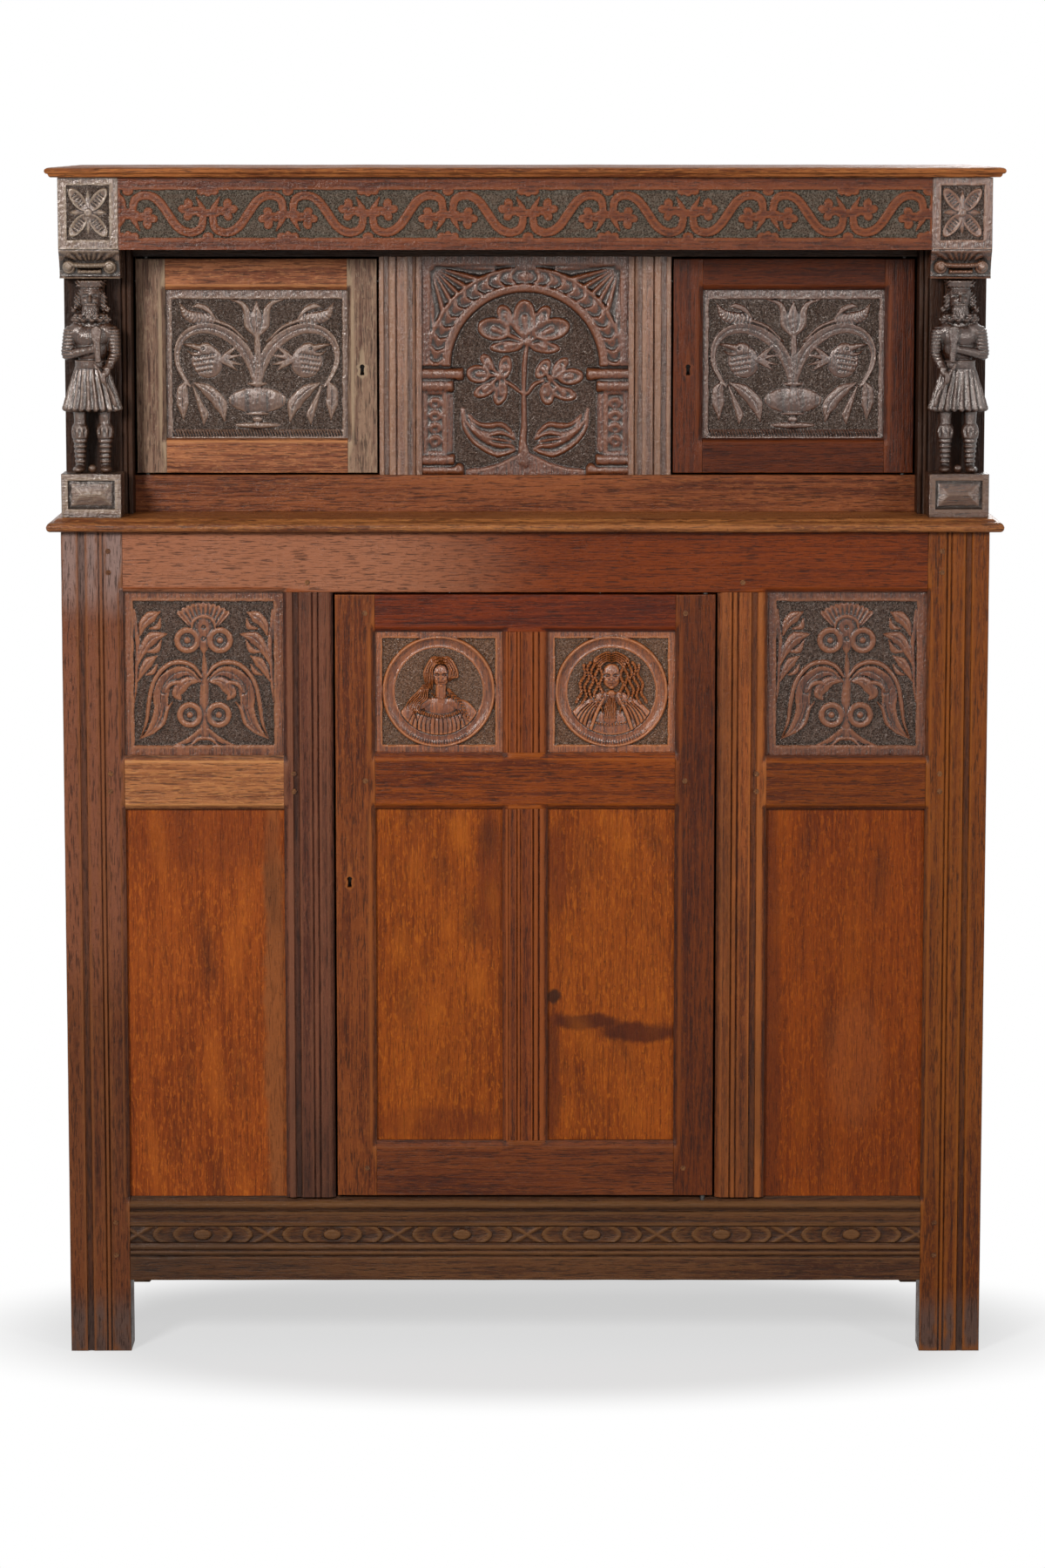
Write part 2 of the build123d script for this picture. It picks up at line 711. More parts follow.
for name, sign in (("hinge", 1), ("lock", -1)):
    with BuildPart() as door_stile:
        block(span(sign * door_inner, sign * door_x), (front, door_back), door_z)
        if name == "hinge":
            arris = door_stile.edges().filter_by(Axis.Z).filter_by_position(Axis.Y, front, front)
            chamfer(arris.filter_by_position(Axis.X, door_x, door_x), hinge_chamfer)
        shape_door_member()
        for band in door_bands.values():
            mortice = span(sign * door_inner, sign * (door_inner + door_tenon_length + tenon_end_gap))
            block(mortice, door_tenon_y, tenon_z(band), Mode.SUBTRACT)
        door_peg_holes()
        if name == "hinge":
            for z in ((door_z[0], door_z[0] + pin_in_door), (door_z[1] - pin_in_door, door_z[1])):
                with Locations((*lower_pin, (z[0] + z[1]) / 2)):
                    Cylinder(pin_radius + peg_play, z[1] - z[0], mode=Mode.SUBTRACT)
        else:
            pocket = (-door_x + lock_inset, -door_x + lock_inset + lock_width)
            pocket_z = (lower_keyhole_height - lock_height / 2, lower_keyhole_height + lock_height / 2)
            block(pocket, (door_back - lock_depth, door_back), pocket_z, Mode.SUBTRACT)
            block((-door_x, pocket[0]), strike_y, strike_z, Mode.SUBTRACT)
            keyhole(lower_key_x, lower_keyhole_height, (front, door_back - lock_depth))
    write(door_stile.part, f"lower_door_{name}_stile")

for name, band in door_bands.items():
    with BuildPart() as door_rail:
        block((-door_inner, door_inner), (front, door_back), band)
        shape_door_member()
        tenon = door_inner + door_tenon_length
        block((-tenon, tenon), door_tenon_y, tenon_z(band))
        door_peg_holes()
        muntin_tenon = (-door_muntin_half + tenon_shoulder, door_muntin_half - tenon_shoulder)
        socket = side_tenon_length / 2 + tenon_end_gap
        if name != "bottom":
            block(muntin_tenon, door_tenon_y, (band[0], band[0] + socket), Mode.SUBTRACT)
        if name != "top":
            block(muntin_tenon, door_tenon_y, (band[1] - socket, band[1]), Mode.SUBTRACT)
    write(door_rail.part, f"lower_door_{name}_rail")

with BuildPart() as lower_door_muntins:
    for z in (door_plain_z, medallion_z):
        block((-door_muntin_half, door_muntin_half), (front, door_back), z)
        tenon_reach = side_tenon_length / 2
        block(muntin_tenon, door_tenon_y, (z[0] - tenon_reach, z[1] + tenon_reach))
        for offset in (-14.0, -7.0, 7.0, 14.0):
            hollow(offset, front, z, quirk_radius)
        hollow(0, front - flute_radius / 2, z, flute_radius)
    shape_door_member()
write(lower_door_muntins.part, "lower_door_muntins")

with BuildPart() as lower_door_plain_panels:
    for sign in (-1, 1):
        riven_panel(front, door_light(sign), door_plain_z, door_panel_thickness, door_groove_setback)
write(lower_door_plain_panels.part, "lower_door_plain_panels")

for side, sign in sides:
    with BuildPart() as medallion_panel:
        x = door_light(sign)
        riven_panel(front, x, medallion_z, door_panel_thickness, door_groove_setback)
        panel_face = front + door_groove_setback
        middle = ((x[0] + x[1]) / 2, (medallion_z[0] + medallion_z[1]) / 2)
        sunk_x = (x[0] + medallion_margin, x[1] - medallion_margin)
        sunk_z = (medallion_z[0] + medallion_margin, medallion_z[1] - medallion_margin)
        block(sunk_x, (panel_face, panel_face + medallion_sink), sunk_z, Mode.SUBTRACT)
        # The ring round the bust, cut with a few flats
        with BuildSketch(Plane.XZ.offset(-(panel_face + medallion_sink))) as ring:
            with Locations(middle):
                RegularPolygon(medallion_ring_radius, ring_sides)
                RegularPolygon(medallion_ring_radius - medallion_ring_width, ring_sides, mode=Mode.SUBTRACT)
        extrude(amount=medallion_sink + 2)
        # A plain rounded bust stands in the ring
        with BuildSketch(Plane.XZ.offset(-(panel_face + medallion_sink))) as bust:
            with Locations((middle[0], middle[1] + 14)):
                lozenge(14, 18)
            with Locations((middle[0], middle[1] - 28)):
                lozenge(38, 22)
            with Locations((middle[0], middle[1] - 4)):
                Rectangle(16, 20)
        extrude(amount=medallion_sink)
    write(medallion_panel.part, f"medallion_panel_{side}")

with BuildPart() as lower_door_pegs:
    for sign in (-1, 1):
        for band in door_bands.values():
            x = sign * (door_inner + door_peg_inset)
            peg_y = (front - peg_proud, front + door_peg_length - 1)
            facets(x, (band[0] + band[1]) / 2, peg_y, peg_radius)
write(lower_door_pegs.part, "lower_door_pegs")


def hinge_pins(x, y, z):
    """The pins that stand out of the ends of a door's hinge stile."""
    for low, high in ((z[0] - door_gap - pin_in_rail, z[0] + pin_in_door),
                      (z[1] - pin_in_door, z[1] + door_gap + pin_in_rail)):
        with Locations((x, y, (low + high) / 2)):
            Cylinder(pin_radius, high - low)


with BuildPart() as lower_door_pins:
    hinge_pins(*lower_pin, door_z)
write(lower_door_pins.part, "lower_door_pins")


def lock_case(edge, way, key_x, key_z, back_y):
    """A hollow iron lock case let into the back of a stile. Way points from the door's edge into the door."""
    x = span(edge + way * lock_inset, edge + way * (lock_inset + lock_width))
    y = (back_y - lock_depth, back_y)
    z = (key_z - lock_height / 2, key_z + lock_height / 2)
    block(x, y, z)
    inside = [(low + lock_wall, high - lock_wall) for low, high in (x, y, z)]
    block(*inside, Mode.SUBTRACT)
    half = bolt_height / 2 + bolt_play
    slot_y = (y[0] + lock_wall, y[0] + lock_wall + bolt_thickness + 2 * bolt_play)
    slot_x = span(edge + way * lock_inset, edge + way * (lock_inset + lock_wall))
    block(slot_x, slot_y, (key_z - half, key_z + half), Mode.SUBTRACT)
    keyhole(key_x, key_z, (y[0], y[0] + lock_wall))


def lock_bolt(edge, way, key_z, back_y):
    """The bolt, drawn back into its case, with a notch for the key's bit."""
    x = span(edge + way * bolt_withdrawn, edge + way * (bolt_withdrawn + bolt_length))
    low_y = back_y - lock_depth + lock_wall + bolt_play
    half = bolt_height / 2
    block(x, (low_y, low_y + bolt_thickness), (key_z - half, key_z + half))
    notch = span(edge + way * (bolt_length - 8), edge + way * (bolt_length - 3))
    block(notch, (low_y, low_y + bolt_thickness), (key_z - half, key_z - half / 2), Mode.SUBTRACT)


with BuildPart() as lower_door_lock:
    lock_case(-door_x, 1, lower_key_x, lower_keyhole_height, door_back)
write(lower_door_lock.part, "lower_door_lock")

with BuildPart() as lower_door_bolt:
    lock_bolt(-door_x, 1, lower_keyhole_height, door_back)
write(lower_door_bolt.part, "lower_door_bolt")

# ------------------------------------------------------------------ shelf board and top board
nose_height = 6.0
nose_setback = 1.5
ogee_run = 18.0
ogee_rise = 8.0


def moulded_board(x, y, z, run, rise):
    """A board with a hollow and a nose run along its front and both ends."""
    with BuildSketch(Plane.XZ.offset(-y[0])) as across:
        with BuildLine():
            left = [(x[0] + run, z[1]), (x[0] + run / 2.4, z[1] - rise / 1.6), (x[0], z[1] - rise)]
            right = [(x[1] - run, z[1]), (x[1] - run / 2.4, z[1] - rise / 1.6), (x[1], z[1] - rise)]
            Polyline(*left)
            Line(left[2], (x[0], z[0] + nose_setback))
            Line((x[0], z[0] + nose_setback), (x[0] + nose_setback, z[0]))
            Line((x[0] + nose_setback, z[0]), (x[1] - nose_setback, z[0]))
            Line((x[1] - nose_setback, z[0]), (x[1], z[0] + nose_setback))
            Line((x[1], z[0] + nose_setback), right[2])
            Polyline(*right)
            Line(right[0], left[0])
        make_face()
    extrude(across.sketch, amount=-(y[1] - y[0]))
    with BuildSketch(Plane.YZ.offset(x[0])) as along:
        with BuildLine():
            nose = [(y[0] + run, z[1]), (y[0] + run / 2.4, z[1] - rise / 1.6), (y[0], z[1] - rise)]
            Polyline(*nose)
            Line(nose[2], (y[0], z[0] + nose_setback))
            Line((y[0], z[0] + nose_setback), (y[0] + nose_setback, z[0]))
            Line((y[0] + nose_setback, z[0]), (y[1], z[0]))
            Line((y[1], z[0]), (y[1], z[1]))
            Line((y[1], z[1]), nose[0])
        make_face()
    extrude(along.sketch, amount=x[1] - x[0], mode=Mode.INTERSECT)


with BuildPart() as shelf_board:
    shelf_half = case_half + shelf_end_overhang
    shelf_y = (front - shelf_overhang, back)
    moulded_board((-shelf_half, shelf_half), shelf_y, (z_case, z_upper), ogee_run, ogee_rise)
write(shelf_board.part, "shelf_board")

with BuildPart() as top_board:
    top_half = case_half + top_end_overhang
    top_y = (front - top_overhang, back)
    moulded_board((-top_half, top_half), top_y, (z_canopy, z_top), nose_height, nose_height / 2)
write(top_board.part, "top_board")

# ------------------------------------------------------------------ upper stage: posts, rails and muntins
upper_pegs = []
upper_tenon_y = (recess_face + 12, recess_face + 12 + tenon_thickness)
upper_bands = {
    "bottom": (z_upper, z_recess),
    "top": (z_recess_top, z_soffit),
}
upper_shoulder = 9.0
upper_back_inner = post_outer - upper_back_stile_width
upper_back_face = back - upper_back_stile_depth
upper_side_bands = {
    "bottom": (z_upper, z_recess),
    "top": (z_frieze, z_canopy),
}
upper_side_panel_z = (z_recess, z_frieze)
upper_side_tenon_x = (post_outer - tenon_setback, post_outer - tenon_setback + tenon_thickness)
upper_side_groove_x = (post_outer - groove_setback - tongue_thickness, post_outer - groove_setback)
upper_side_y = (post_back, upper_back_face)
arch_z = (z_recess, z_recess_top)


def upper_tenon_z(band):
    """The part of an upper rail's height that its tenon takes."""
    return (band[0] + upper_shoulder, band[1] - upper_shoulder)


upper_strike_low = recess_face + upper_door_thickness - lock_depth + lock_wall
upper_strike_y = (upper_strike_low, upper_strike_low + bolt_thickness + 2 * bolt_play)
upper_strike_z = (upper_keyhole_height - strike_half, upper_keyhole_height + strike_half)

for side, sign in sides:
    with BuildPart() as upper_post:
        block(span(sign * post_inner, sign * post_outer), (post_face, post_back), (z_upper, z_canopy))
        flutes(post_face, post_outer, sign, (z_upper, z_canopy))
        for offset in (80.0, 87.0):
            hollow(sign * (post_outer - offset), post_face, (z_upper, z_canopy), quirk_radius)
        for band in upper_bands.values():
            mortice = span(sign * post_inner, sign * (post_inner + tenon_length + tenon_end_gap))
            block(mortice, upper_tenon_y, upper_tenon_z(band), Mode.SUBTRACT)
        for band in upper_side_bands.values():
            y = (post_back - side_tenon_length - tenon_end_gap, post_back)
            block(span(*(sign * x for x in upper_side_tenon_x)), y, upper_tenon_z(band), Mode.SUBTRACT)
        y = (post_back - groove_depth, post_back)
        z = (upper_side_panel_z[0] - groove_depth, upper_side_panel_z[1] + groove_depth)
        block(span(*(sign * x for x in upper_side_groove_x)), y, z, Mode.SUBTRACT)
    write(upper_post.part, f"upper_post_{side}")

for name, band in upper_bands.items():
    with BuildPart() as recess_rail:
        block((-post_inner, post_inner), (recess_face, recess_back), band)
        reach = post_inner + tenon_length
        block((-reach, reach), upper_tenon_y, upper_tenon_z(band))
        groove(recess_face, (-arch_half, arch_half), arch_z)
        for side, sign in sides:
            x = span(sign * (arch_half + tenon_shoulder), sign * (recess_muntin_outer - tenon_shoulder))
            low = band[1] - side_tenon_length if name == "bottom" else band[0]
            block(x, upper_tenon_y, (low, low + side_tenon_length), Mode.SUBTRACT)
            pin_x = sign * (post_inner - door_gap - pin_inset)
            depth = door_gap + pin_in_rail + pin_end_gap
            z = (band[1] - depth, band[1]) if name == "bottom" else (band[0], band[0] + depth)
            pin_bore(pin_x, recess_face + pin_setback, z)
    write(recess_rail.part, f"recess_{name}_rail")

with BuildPart() as recess_muntins:
    for side, sign in sides:
        block(span(sign * arch_half, sign * recess_muntin_outer), (recess_face, recess_back), arch_z)
        run = ((9.0, quirk_radius), (16.0, flute_radius), (36.0, quirk_radius), (50.0, flute_radius))
        for offset, radius in run:
            hollow(sign * (arch_half + offset), recess_face, arch_z, radius)
        groove(recess_face, (-arch_half, arch_half), arch_z)
        x = span(sign * (arch_half + tenon_shoulder), sign * (recess_muntin_outer - tenon_shoulder))
        reach = side_tenon_length - tenon_end_gap
        block(x, upper_tenon_y, (arch_z[0] - reach, arch_z[1] + reach))
        strike = span(sign * (recess_muntin_outer - bolt_travel), sign * recess_muntin_outer)
        block(strike, upper_strike_y, upper_strike_z, Mode.SUBTRACT)
write(recess_muntins.part, "recess_muntins")

# ------------------------------------------------------------------ the arcaded panel
with BuildPart() as arch_panel:
    riven_panel(recess_face, (-arch_half, arch_half), arch_z)
    ground = recess_face + groove_setback
    # The spandrel plate over the arch, open below it and between the pilasters
    with BuildSketch(Plane.XZ.offset(-ground)) as spandrels:
        with Locations((0, (arch_centre_height + arch_z[1]) / 2)):
            Rectangle(arch_opening_width, arch_z[1] - arch_centre_height)
        with Locations((0, arch_centre_height)):
            RegularPolygon(arch_radius - arch_band, arch_sides, mode=Mode.SUBTRACT)
    extrude(amount=relief - 2)
    with BuildSketch(Plane.XZ.offset(-(ground - relief + 2))) as arch_ring:
        with Locations((0, arch_centre_height)):
            RegularPolygon(arch_radius, arch_sides)
            RegularPolygon(arch_radius - arch_band, arch_sides, mode=Mode.SUBTRACT)
        with Locations((0, arch_centre_height - arch_radius)):
            Rectangle(2 * arch_radius, 2 * arch_radius, mode=Mode.SUBTRACT)
    extrude(amount=2)
    # Scallops struck round the arch with one gouge
    for index in range(arch_gouges):
        angle = math.pi * (index + 0.5) / arch_gouges
        middle_radius = arch_radius - arch_band / 2
        across = middle_radius * math.cos(angle)
        up = middle_radius * math.sin(angle)
        cut_y = (ground - relief, ground - relief + gouge_depth)
        facets(across, arch_centre_height + up, cut_y, gouge_radius, Mode.SUBTRACT)
    for side, sign in sides:
        outer = sign * arch_half
        inner = sign * (arch_half - pilaster_width)
        block(span(inner, outer), (ground - relief + 2, ground), (arch_z[0], arch_centre_height))
        wide = sign * (arch_half - pilaster_width - pilaster_cap_projection)
        for z, high in ((arch_centre_height - pilaster_capital_height, pilaster_capital_height),
                        (arch_z[0], pilaster_base_height)):
            block(span(wide, outer), (ground - relief, ground), (z, z + high))
            scroll = z + high - 10 if z > arch_z[0] else z + 10
            facets(wide, scroll, (ground - relief - 1, ground), 8.0)
        for step in range(5):
            height = arch_z[0] + pilaster_base_height + 10 + step * 17
            cut_y = (ground - relief, ground - relief + gouge_depth + 2)
            facets((inner + outer) / 2, height, cut_y, gouge_radius - 1, Mode.SUBTRACT)
    # The flowering stem on its mound
    block((-3, 3), (ground - relief / 2, ground), (arch_z[0], arch_centre_height + 40))
    low_flower = arch_centre_height - 18
    for x, z, size in ((0, arch_centre_height + 50, 40), (-48, low_flower, 25), (46, low_flower, 25)):
        with BuildSketch(Plane.XZ.offset(-ground)) as petals:
            with Locations((x, z)):
                with PolarLocations(size / 2, 7):
                    lozenge(size / 2.2, size / 4.5)
        extrude(amount=relief / 2)
write(arch_panel.part, "arch_panel")

# ------------------------------------------------------------------ upper doors
upper_door_z = (z_recess + door_gap, z_recess_top - door_gap)
upper_door_outer = post_inner - door_gap
upper_door_inner = recess_muntin_outer + door_gap
upper_light_x = (upper_door_inner + upper_door_stile_width, upper_door_outer - upper_door_stile_width)
upper_light_low = upper_door_z[0] + upper_door_bottom_rail_height
upper_light_z = (upper_light_low, upper_door_z[1] - upper_door_top_rail_height)
upper_door_back = recess_face + upper_door_thickness
upper_key_x = upper_door_inner + upper_keyhole_inset
upper_pin = (upper_door_outer - pin_inset, recess_face + pin_setback)
frame_tenon_y = (recess_face + door_groove_setback + 1, recess_face + door_groove_setback + 8)
frame_tenon = 21.0

for side, sign in sides:
    light = span(*(sign * x for x in upper_light_x))
    with BuildPart() as door_frame:
        for x in ((upper_door_inner, upper_light_x[0]), (upper_light_x[1], upper_door_outer)):
            block(span(sign * x[0], sign * x[1]), (recess_face, upper_door_back), upper_door_z)
        arris = door_frame.edges().filter_by(Axis.Z).filter_by_position(Axis.Y, recess_face, recess_face)
        arris = arris.filter_by_position(Axis.X, sign * upper_door_outer, sign * upper_door_outer)
        chamfer(arris, hinge_chamfer)
        splay(recess_face, light, upper_light_z, 5.0)
        groove(recess_face, light, upper_light_z, door_groove_setback)
        for z in ((upper_door_z[0], upper_light_z[0]), (upper_light_z[1], upper_door_z[1])):
            depth = frame_tenon + tenon_end_gap
            tenon = (upper_light_x[0] - depth, upper_light_x[1] + depth)
            block(span(*(sign * x for x in tenon)), frame_tenon_y, tenon_z(z), Mode.SUBTRACT)
        pin_holes = (
            (upper_door_z[0], upper_door_z[0] + pin_in_door),
            (upper_door_z[1] - pin_in_door, upper_door_z[1]),
        )
        for z in pin_holes:
            with Locations((sign * upper_pin[0], upper_pin[1], (z[0] + z[1]) / 2)):
                Cylinder(pin_radius + peg_play, z[1] - z[0], mode=Mode.SUBTRACT)
        pocket_edge = upper_door_inner + lock_inset
        pocket = span(sign * pocket_edge, sign * (pocket_edge + lock_width))
        pocket_z = (upper_keyhole_height - lock_height / 2, upper_keyhole_height + lock_height / 2)
        block(pocket, (upper_door_back - lock_depth, upper_door_back), pocket_z, Mode.SUBTRACT)
        throat = span(sign * upper_door_inner, sign * (upper_door_inner + lock_inset))
        block(throat, upper_strike_y, upper_strike_z, Mode.SUBTRACT)
        keyhole(sign * upper_key_x, upper_keyhole_height, (recess_face, upper_door_back - lock_depth))
    with BuildPart() as door_rails:
        for z in ((upper_door_z[0], upper_light_z[0]), (upper_light_z[1], upper_door_z[1])):
            block(light, (recess_face, upper_door_back), z)
        splay(recess_face, light, upper_light_z, 5.0)
        groove(recess_face, light, upper_light_z, door_groove_setback)
        for z in ((upper_door_z[0], upper_light_z[0]), (upper_light_z[1], upper_door_z[1])):
            block((light[0] - frame_tenon, light[1] + frame_tenon), frame_tenon_y, tenon_z(z))
    members = Compound(children=[*door_frame.part.solids(), *door_rails.part.solids()])
    write(members, f"upper_{side}_door_frame")

    with BuildPart() as door_panel:
        riven_panel(recess_face, light, upper_light_z, door_panel_thickness, door_groove_setback)
        panel_face = recess_face + door_groove_setback
        margin = 6.0
        sunk_x = (light[0] + margin, light[1] - margin)
        sunk_z = (upper_light_z[0] + margin, upper_light_z[1] - margin)
        block(sunk_x, (panel_face, panel_face + 4), sunk_z, Mode.SUBTRACT)
        middle = (light[0] + light[1]) / 2
        carve = Plane.XZ.offset(-(panel_face + 4))
        with BuildSketch(carve) as urn:
            with Locations((middle, sunk_z[0] + 40)):
                lozenge(40, 18)
            with Locations((middle, sunk_z[0] + 15)):
                lozenge(24, 6)
            with Locations((middle, sunk_z[0] + 60)):
                Rectangle(50, 8)
            with Locations((middle, sunk_z[0] + 24)):
                Rectangle(14, 20)
        extrude(amount=4)
        with BuildSketch(carve) as foliage:
            with Locations((middle, sunk_z[0] + 150)):
                lozenge(16, 32)
            for way in (-1, 1):
                with Locations((middle + way * 65, sunk_z[0] + 105)):
                    lozenge(28, 16)
                with Locations((middle + way * 80, sunk_z[0] + 160)):
                    lozenge(26, 10)
                with Locations((middle + way * 85, sunk_z[0] + 40)):
                    lozenge(12, 28)
        extrude(amount=3.5)
        with BuildSketch(carve) as branches:
            for way in (-1, 1):
                with BuildLine():
                    foot = (middle + way * 8, sunk_z[0] + 60)
                    tip = (middle + way * 88, sunk_z[0] + 70)
                    ThreePointArc(foot, (middle + way * 50, sunk_z[0] + 140), tip)
                    ThreePointArc(tip, (middle + way * 46, sunk_z[0] + 132), foot)
                make_face()
        extrude(amount=3)
    write(door_panel.part, f"upper_{side}_door_panel")

    with BuildPart() as pins:
        hinge_pins(sign * upper_pin[0], upper_pin[1], upper_door_z)
    write(pins.part, f"upper_{side}_door_pins")

    with BuildPart() as lock:
        lock_case(sign * upper_door_inner, sign, sign * upper_key_x, upper_keyhole_height, upper_door_back)
    write(lock.part, f"upper_{side}_door_lock")

    with BuildPart() as bolt:
        lock_bolt(sign * upper_door_inner, sign, upper_keyhole_height, upper_door_back)
    write(bolt.part, f"upper_{side}_door_bolt")

# ------------------------------------------------------------------ canopy
soffit_groove = 8.0
frieze_back = block_face + rail_thickness
frieze_tenon = 20.0

with BuildPart() as frieze_rail:
    block((-block_inner, block_inner), (block_face, frieze_back), (z_frieze, z_canopy))
    band_z = (z_frieze + 16, z_canopy - 19)
    block((-block_inner, block_inner), (block_face, block_face + 3), band_z, Mode.SUBTRACT)
    # A running scroll in low relief fills the sunk band
    scroll_radius = 24.0
    wave = 222.0
    count = int(2 * block_inner // (wave / 2))
    band_middle = (band_z[0] + band_z[1]) / 2
    with BuildSketch(Plane.XZ.offset(-(block_face + 3))) as scrolls:
        for index in range(count):
            centre = (index - (count - 1) / 2) * wave / 2
            up = 1 if index % 2 else -1
            with Locations((centre, band_middle + up * 5)):
                RegularPolygon(scroll_radius, peg_sides)
                RegularPolygon(scroll_radius - 9, peg_sides, mode=Mode.SUBTRACT)
            with Locations((centre, band_middle)):
                RegularPolygon(7, peg_sides)
            if index < count - 1:
                with Locations((centre + wave / 4, band_middle)):
                    Rectangle(wave / 2 - 2 * scroll_radius + 8, 9)
    extrude(amount=3)
    for side, sign in sides:
        tenon = span(sign * block_inner, sign * (block_inner + frieze_tenon))
        block(tenon, tenon_y(block_face), tenon_z((z_frieze, z_canopy)))
    groove_y = (frieze_back - soffit_groove, frieze_back)
    block((-post_inner, post_inner), groove_y, (z_soffit, z_soffit + soffit_thickness), Mode.SUBTRACT)
write(frieze_rail.part, "frieze_rail")

with BuildPart() as corner_blocks:
    for side, sign in sides:
        x = span(sign * block_inner, sign * block_outer)
        centre = (x[0] + x[1]) / 2
        # The block's lower corners are cut off
        with BuildSketch(Plane.XZ.offset(-post_face)) as outline:
            with BuildLine():
                Polyline((x[0], z_canopy), (x[0], z_capital + block_corner), (x[0] + block_corner, z_capital),
                         (x[1] - block_corner, z_capital), (x[1], z_capital + block_corner), (x[1], z_canopy), close=True)
            make_face()
        extrude(outline.sketch, amount=post_face - block_face)
        # The neck under the block is hollowed back behind the capital's scrolls
        with BuildSketch(Plane.YZ.offset(x[0])) as neck:
            with Locations((block_face, z_capital + 14)):
                RegularPolygon(18.0, peg_sides)
        extrude(neck.sketch, amount=block_width, mode=Mode.SUBTRACT)
        for way in (-1, 1):
            facets(centre + way * 27, z_capital + 16, (block_face, block_face + 24), 8.5)
        block((centre - 27, centre + 27), (block_face + 2, block_face + 24), (z_capital + 14, z_capital + 21))
        # A four-petalled rose in a sunk square
        sunk_x = (centre - 30, centre + 30)
        sunk_z = (z_frieze + 13, z_canopy - 10)
        middle_z = (sunk_z[0] + sunk_z[1]) / 2
        block(sunk_x, (block_face, block_face + 4), sunk_z, Mode.SUBTRACT)
        with BuildSketch(Plane.XZ.offset(-(block_face + 4))) as rose:
            for turn in (52, 128, 232, 308):
                reach = 22.0
                across = centre + reach * math.cos(math.radians(turn))
                up = middle_z + reach * math.sin(math.radians(turn))
                with Locations(Location((across, up, 0), (0, 0, turn))):
                    lozenge(19, 8.5)
        extrude(amount=4)
        facets(centre, middle_z, (block_face - 1, block_face + 4), 6.5)
        mortice = span(sign * block_inner, sign * (block_inner + frieze_tenon + tenon_end_gap))
        block(mortice, tenon_y(block_face), tenon_z((z_frieze, z_canopy)), Mode.SUBTRACT)
write(corner_blocks.part, "corner_blocks")

with BuildPart() as canopy_soffit:
    soffit_y = (frieze_back - soffit_groove, back - back_board_thickness)
    soffit_z = (z_soffit, z_soffit + soffit_thickness)
    block((-post_inner, post_inner), soffit_y, soffit_z)
    block((-upper_side_inner, upper_side_inner), (post_back, upper_back_face), soffit_z)
    block((-upper_back_inner, upper_back_inner), (upper_back_face, soffit_y[1]), soffit_z)
write(canopy_soffit.part, "canopy_soffit")

# ------------------------------------------------------------------ upper stage: sides and back
with BuildPart() as upper_back_stiles:
    for side, sign in sides:
        block(span(sign * upper_back_inner, sign * post_outer), (upper_back_face, back), (z_upper, z_canopy))
        rebate = span(sign * upper_back_inner, sign * (upper_back_inner + floor_rebate))
        block(rebate, (back - back_board_thickness, back), (z_upper, z_canopy), Mode.SUBTRACT)
        for band in upper_side_bands.values():
            y = (upper_back_face, upper_back_face + side_tenon_length - tenon_end_gap)
            block(span(*(sign * x for x in upper_side_tenon_x)), y, upper_tenon_z(band), Mode.SUBTRACT)
        y = (upper_back_face, upper_back_face + groove_depth)
        z = (upper_side_panel_z[0] - groove_depth, upper_side_panel_z[1] + groove_depth)
        block(span(*(sign * x for x in upper_side_groove_x)), y, z, Mode.SUBTRACT)
write(upper_back_stiles.part, "upper_back_stiles")

with BuildPart() as upper_side_rails:
    for side, sign in sides:
        for band in upper_side_bands.values():
            block(span(sign * upper_side_inner, sign * post_outer), upper_side_y, band)
            y = (post_back - side_tenon_length, upper_back_face + side_tenon_length - 2 * tenon_end_gap)
            block(span(*(sign * x for x in upper_side_tenon_x)), y, upper_tenon_z(band))
        z = (upper_side_panel_z[0] - groove_depth, upper_side_panel_z[1] + groove_depth)
        block(span(*(sign * x for x in upper_side_groove_x)), upper_side_y, z, Mode.SUBTRACT)
write(upper_side_rails.part, "upper_side_rails")

with BuildPart() as upper_side_panels:
    reach = groove_depth - tongue_play
    for side, sign in sides:
        y = (upper_side_y[0] - reach, upper_side_y[1] + reach)
        z = (upper_side_panel_z[0] - reach, upper_side_panel_z[1] + reach)
        block(span(*(sign * x for x in upper_side_groove_x)), y, z)
write(upper_side_panels.part, "upper_side_panels")

with BuildPart() as upper_back_boards:
    board_half = upper_back_inner + floor_rebate
    board_height = upper_height / upper_back_board_count
    for index in range(upper_back_board_count):
        low = z_upper + index * board_height
        high = low + board_height - board_gap
        block((-board_half, board_half), (back - back_board_thickness, back), (low, high))
write(upper_back_boards.part, "upper_back_boards")

# ------------------------------------------------------------------ pedestals and figures
with BuildPart() as pedestals:
    for side, sign in sides:
        x = span(sign * block_inner, sign * block_outer)
        block(x, (block_face, post_face), (z_upper, z_pedestal))
        centre = (x[0] + x[1]) / 2
        sunk_x = (centre - 33, centre + 33)
        sunk_z = (z_upper + 11, z_pedestal - 9)
        block(sunk_x, (block_face, block_face + 6), sunk_z, Mode.SUBTRACT)
        middle_z = (sunk_z[0] + sunk_z[1]) / 2
        base_x = (sunk_x[0] + 1.5, sunk_x[1] - 1.5)
        base = pane(block_face + 6, base_x, (sunk_z[0] + 1.5, sunk_z[1] - 1.5))
        ridge = pane(block_face + 0.5, (centre - 14, centre + 14), (middle_z - 1, middle_z + 1))
        loft(sections=[base, ridge])
write(pedestals.part, "pedestals")


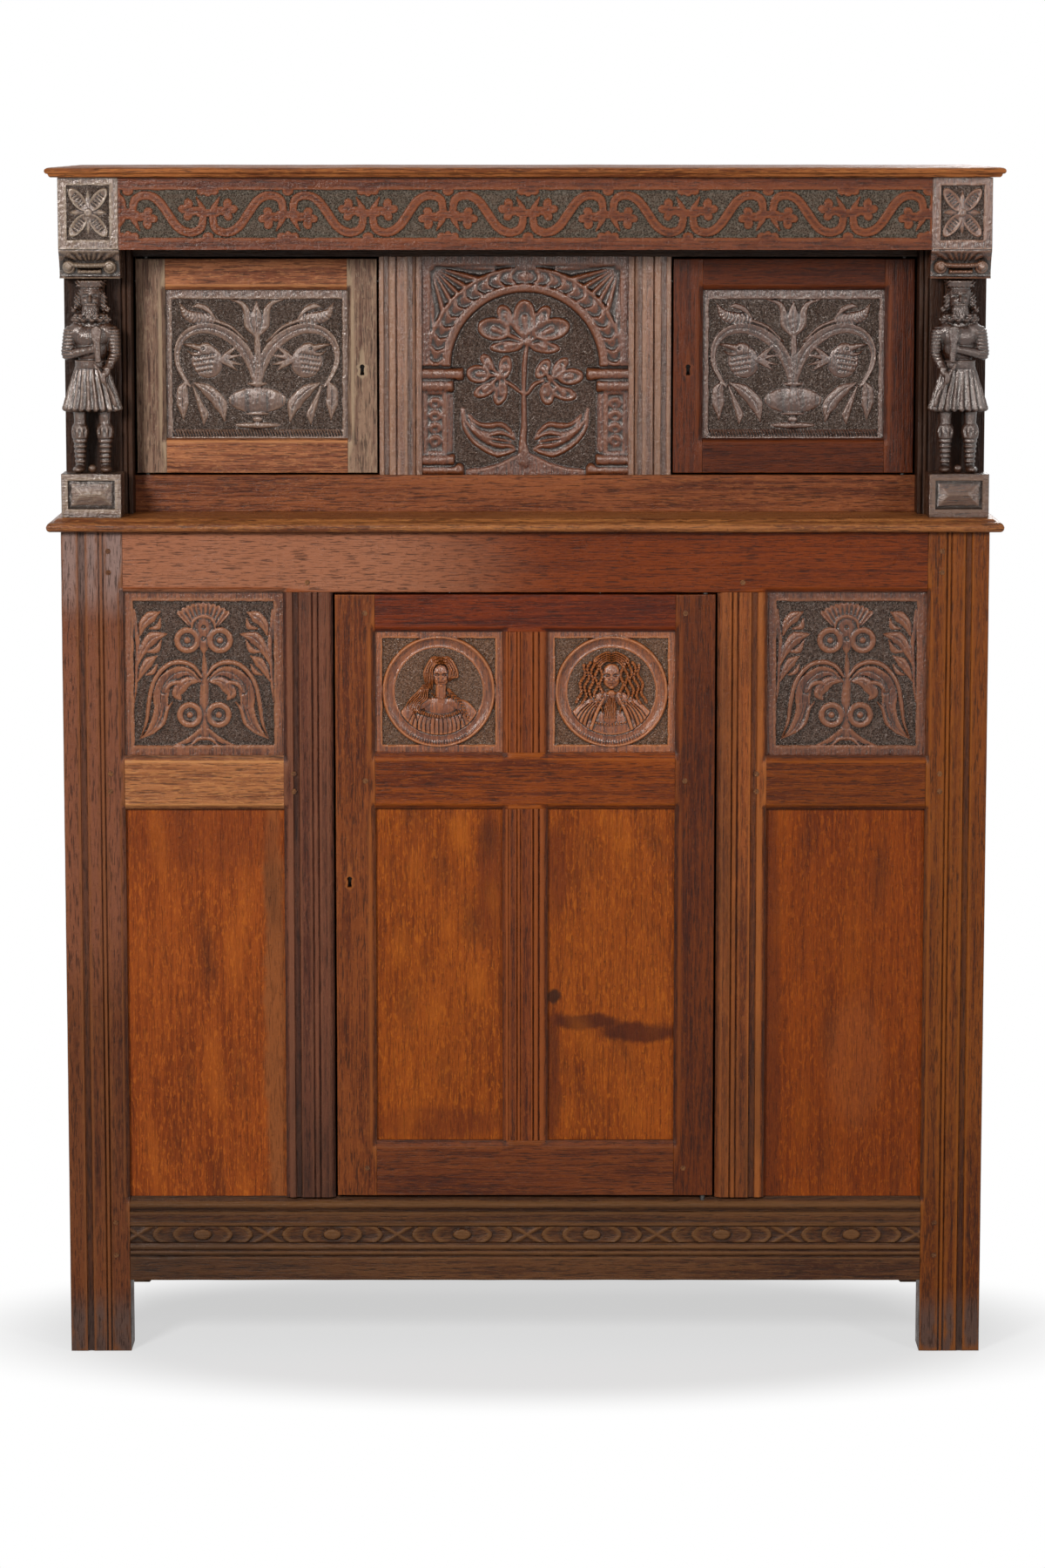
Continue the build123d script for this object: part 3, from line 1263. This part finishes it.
def oval(x, y, z, across, deep):
    """A level oval cut with a few flats, one section through a figure."""
    points = []
    for index in range(figure_sides):
        angle = 2 * math.pi * (index + 0.5) / figure_sides
        points.append((x + across / 2 * math.cos(angle), y + deep / 2 * math.sin(angle)))
    with BuildSketch(Plane.XY.offset(z)) as level:
        with BuildLine():
            Polyline(*points, close=True)
        make_face()
    return level.sketch


def body(*sections):
    """A piece of a figure worked through level sections."""
    loft(sections=list(sections), ruled=True)


def limb(start, end, start_radius, end_radius):
    """A tapering limb between two points, cut with a few flats."""
    line = Vector(*end) - Vector(*start)
    with BuildSketch(Plane(origin=start, z_dir=line)) as first:
        RegularPolygon(start_radius, limb_sides)
    with BuildSketch(Plane(origin=end, z_dir=line)) as last:
        RegularPolygon(end_radius, limb_sides)
    loft(sections=[first.sketch, last.sketch], ruled=True)


for side, sign in sides:
    with BuildPart() as figure:
        x = sign * (block_inner + block_outer) / 2
        y = post_face - figure_depth / 2
        foot = z_pedestal
        height = z_capital - z_pedestal
        hem = foot + 0.32 * height
        waist = foot + 0.55 * height
        shoulder = foot + 0.79 * height
        # Boots with turned-over tops
        for way in (-1, 1):
            leg_x = x + way * 16
            body(oval(leg_x, y - 4, foot, 19, 34), oval(leg_x, y - 2, foot + 9, 17, 26))
            body(oval(leg_x, y, foot + 6, 14, 16), oval(leg_x, y, hem - 34, 18, 20))
            body(oval(leg_x, y, hem - 36, 24, 26), oval(leg_x, y, hem - 20, 22, 24))
            body(oval(leg_x, y, hem - 22, 17, 19), oval(leg_x, y, hem + 6, 18, 20))
        # Skirt, belt and doublet
        body(oval(x, y, hem, 84, 57), oval(x, y, waist, 50, 38))
        body(oval(x, y, waist - 1, 52, 42), oval(x, y, waist + 9, 51, 41))
        body(oval(x, y, waist + 8, 46, 36), oval(x, y, waist + 38, 60, 44), oval(x, y, shoulder, 56, 40))
        # Ruff and head with its hair and beard
        body(oval(x, y, shoulder - 3, 48, 40), oval(x, y, shoulder + 3, 54, 46),
             oval(x, y, shoulder + 11, 46, 40))
        body(oval(x, y - 2, shoulder - 6, 20, 24), oval(x, y - 2, shoulder + 14, 34, 34),
             oval(x, y, z_capital - 12, 42, 38), oval(x, y, z_capital, 36, 34))
        # One arm across the chest, the other down to the sword's hilt
        limb((x + sign * 33, y, shoulder - 6), (x + sign * 34, y - 2, waist + 22), 8.5, 7.5)
        limb((x + sign * 37, y - 1, waist + 20), (x - sign * 3, y - 21, waist + 26), 7.5, 6.0)
        limb((x - sign * 33, y, shoulder - 6), (x - sign * 33, y - 4, waist + 20), 8.5, 7.5)
        limb((x - sign * 36, y - 3, waist + 22), (x - sign * 15, y - 21, waist - 10), 7.5, 6.0)
        # The cup in one hand
        cup_x = x - sign * 6
        body(oval(cup_x, y - 22, waist + 8, 12, 10), oval(cup_x, y - 22, waist + 48, 16, 12))
        # The figure is worked flat where it stands against the post
        block((x - 60, x + 60), (post_face, post_face + 60), (foot - 10, z_canopy), Mode.SUBTRACT)
        block((x - 60, x + 60), (post_face - 100, post_face + 60), (foot - 20, foot), Mode.SUBTRACT)
    write(figure.part, f"figure_{side}")

# ------------------------------------------------------------------ oak pegs of the case
with BuildPart() as pegs:
    for x, z, face in case_pegs:
        facets(x, z, (face - peg_proud, face + peg_length - 1), peg_radius)
write(pegs.part, "case_pegs")
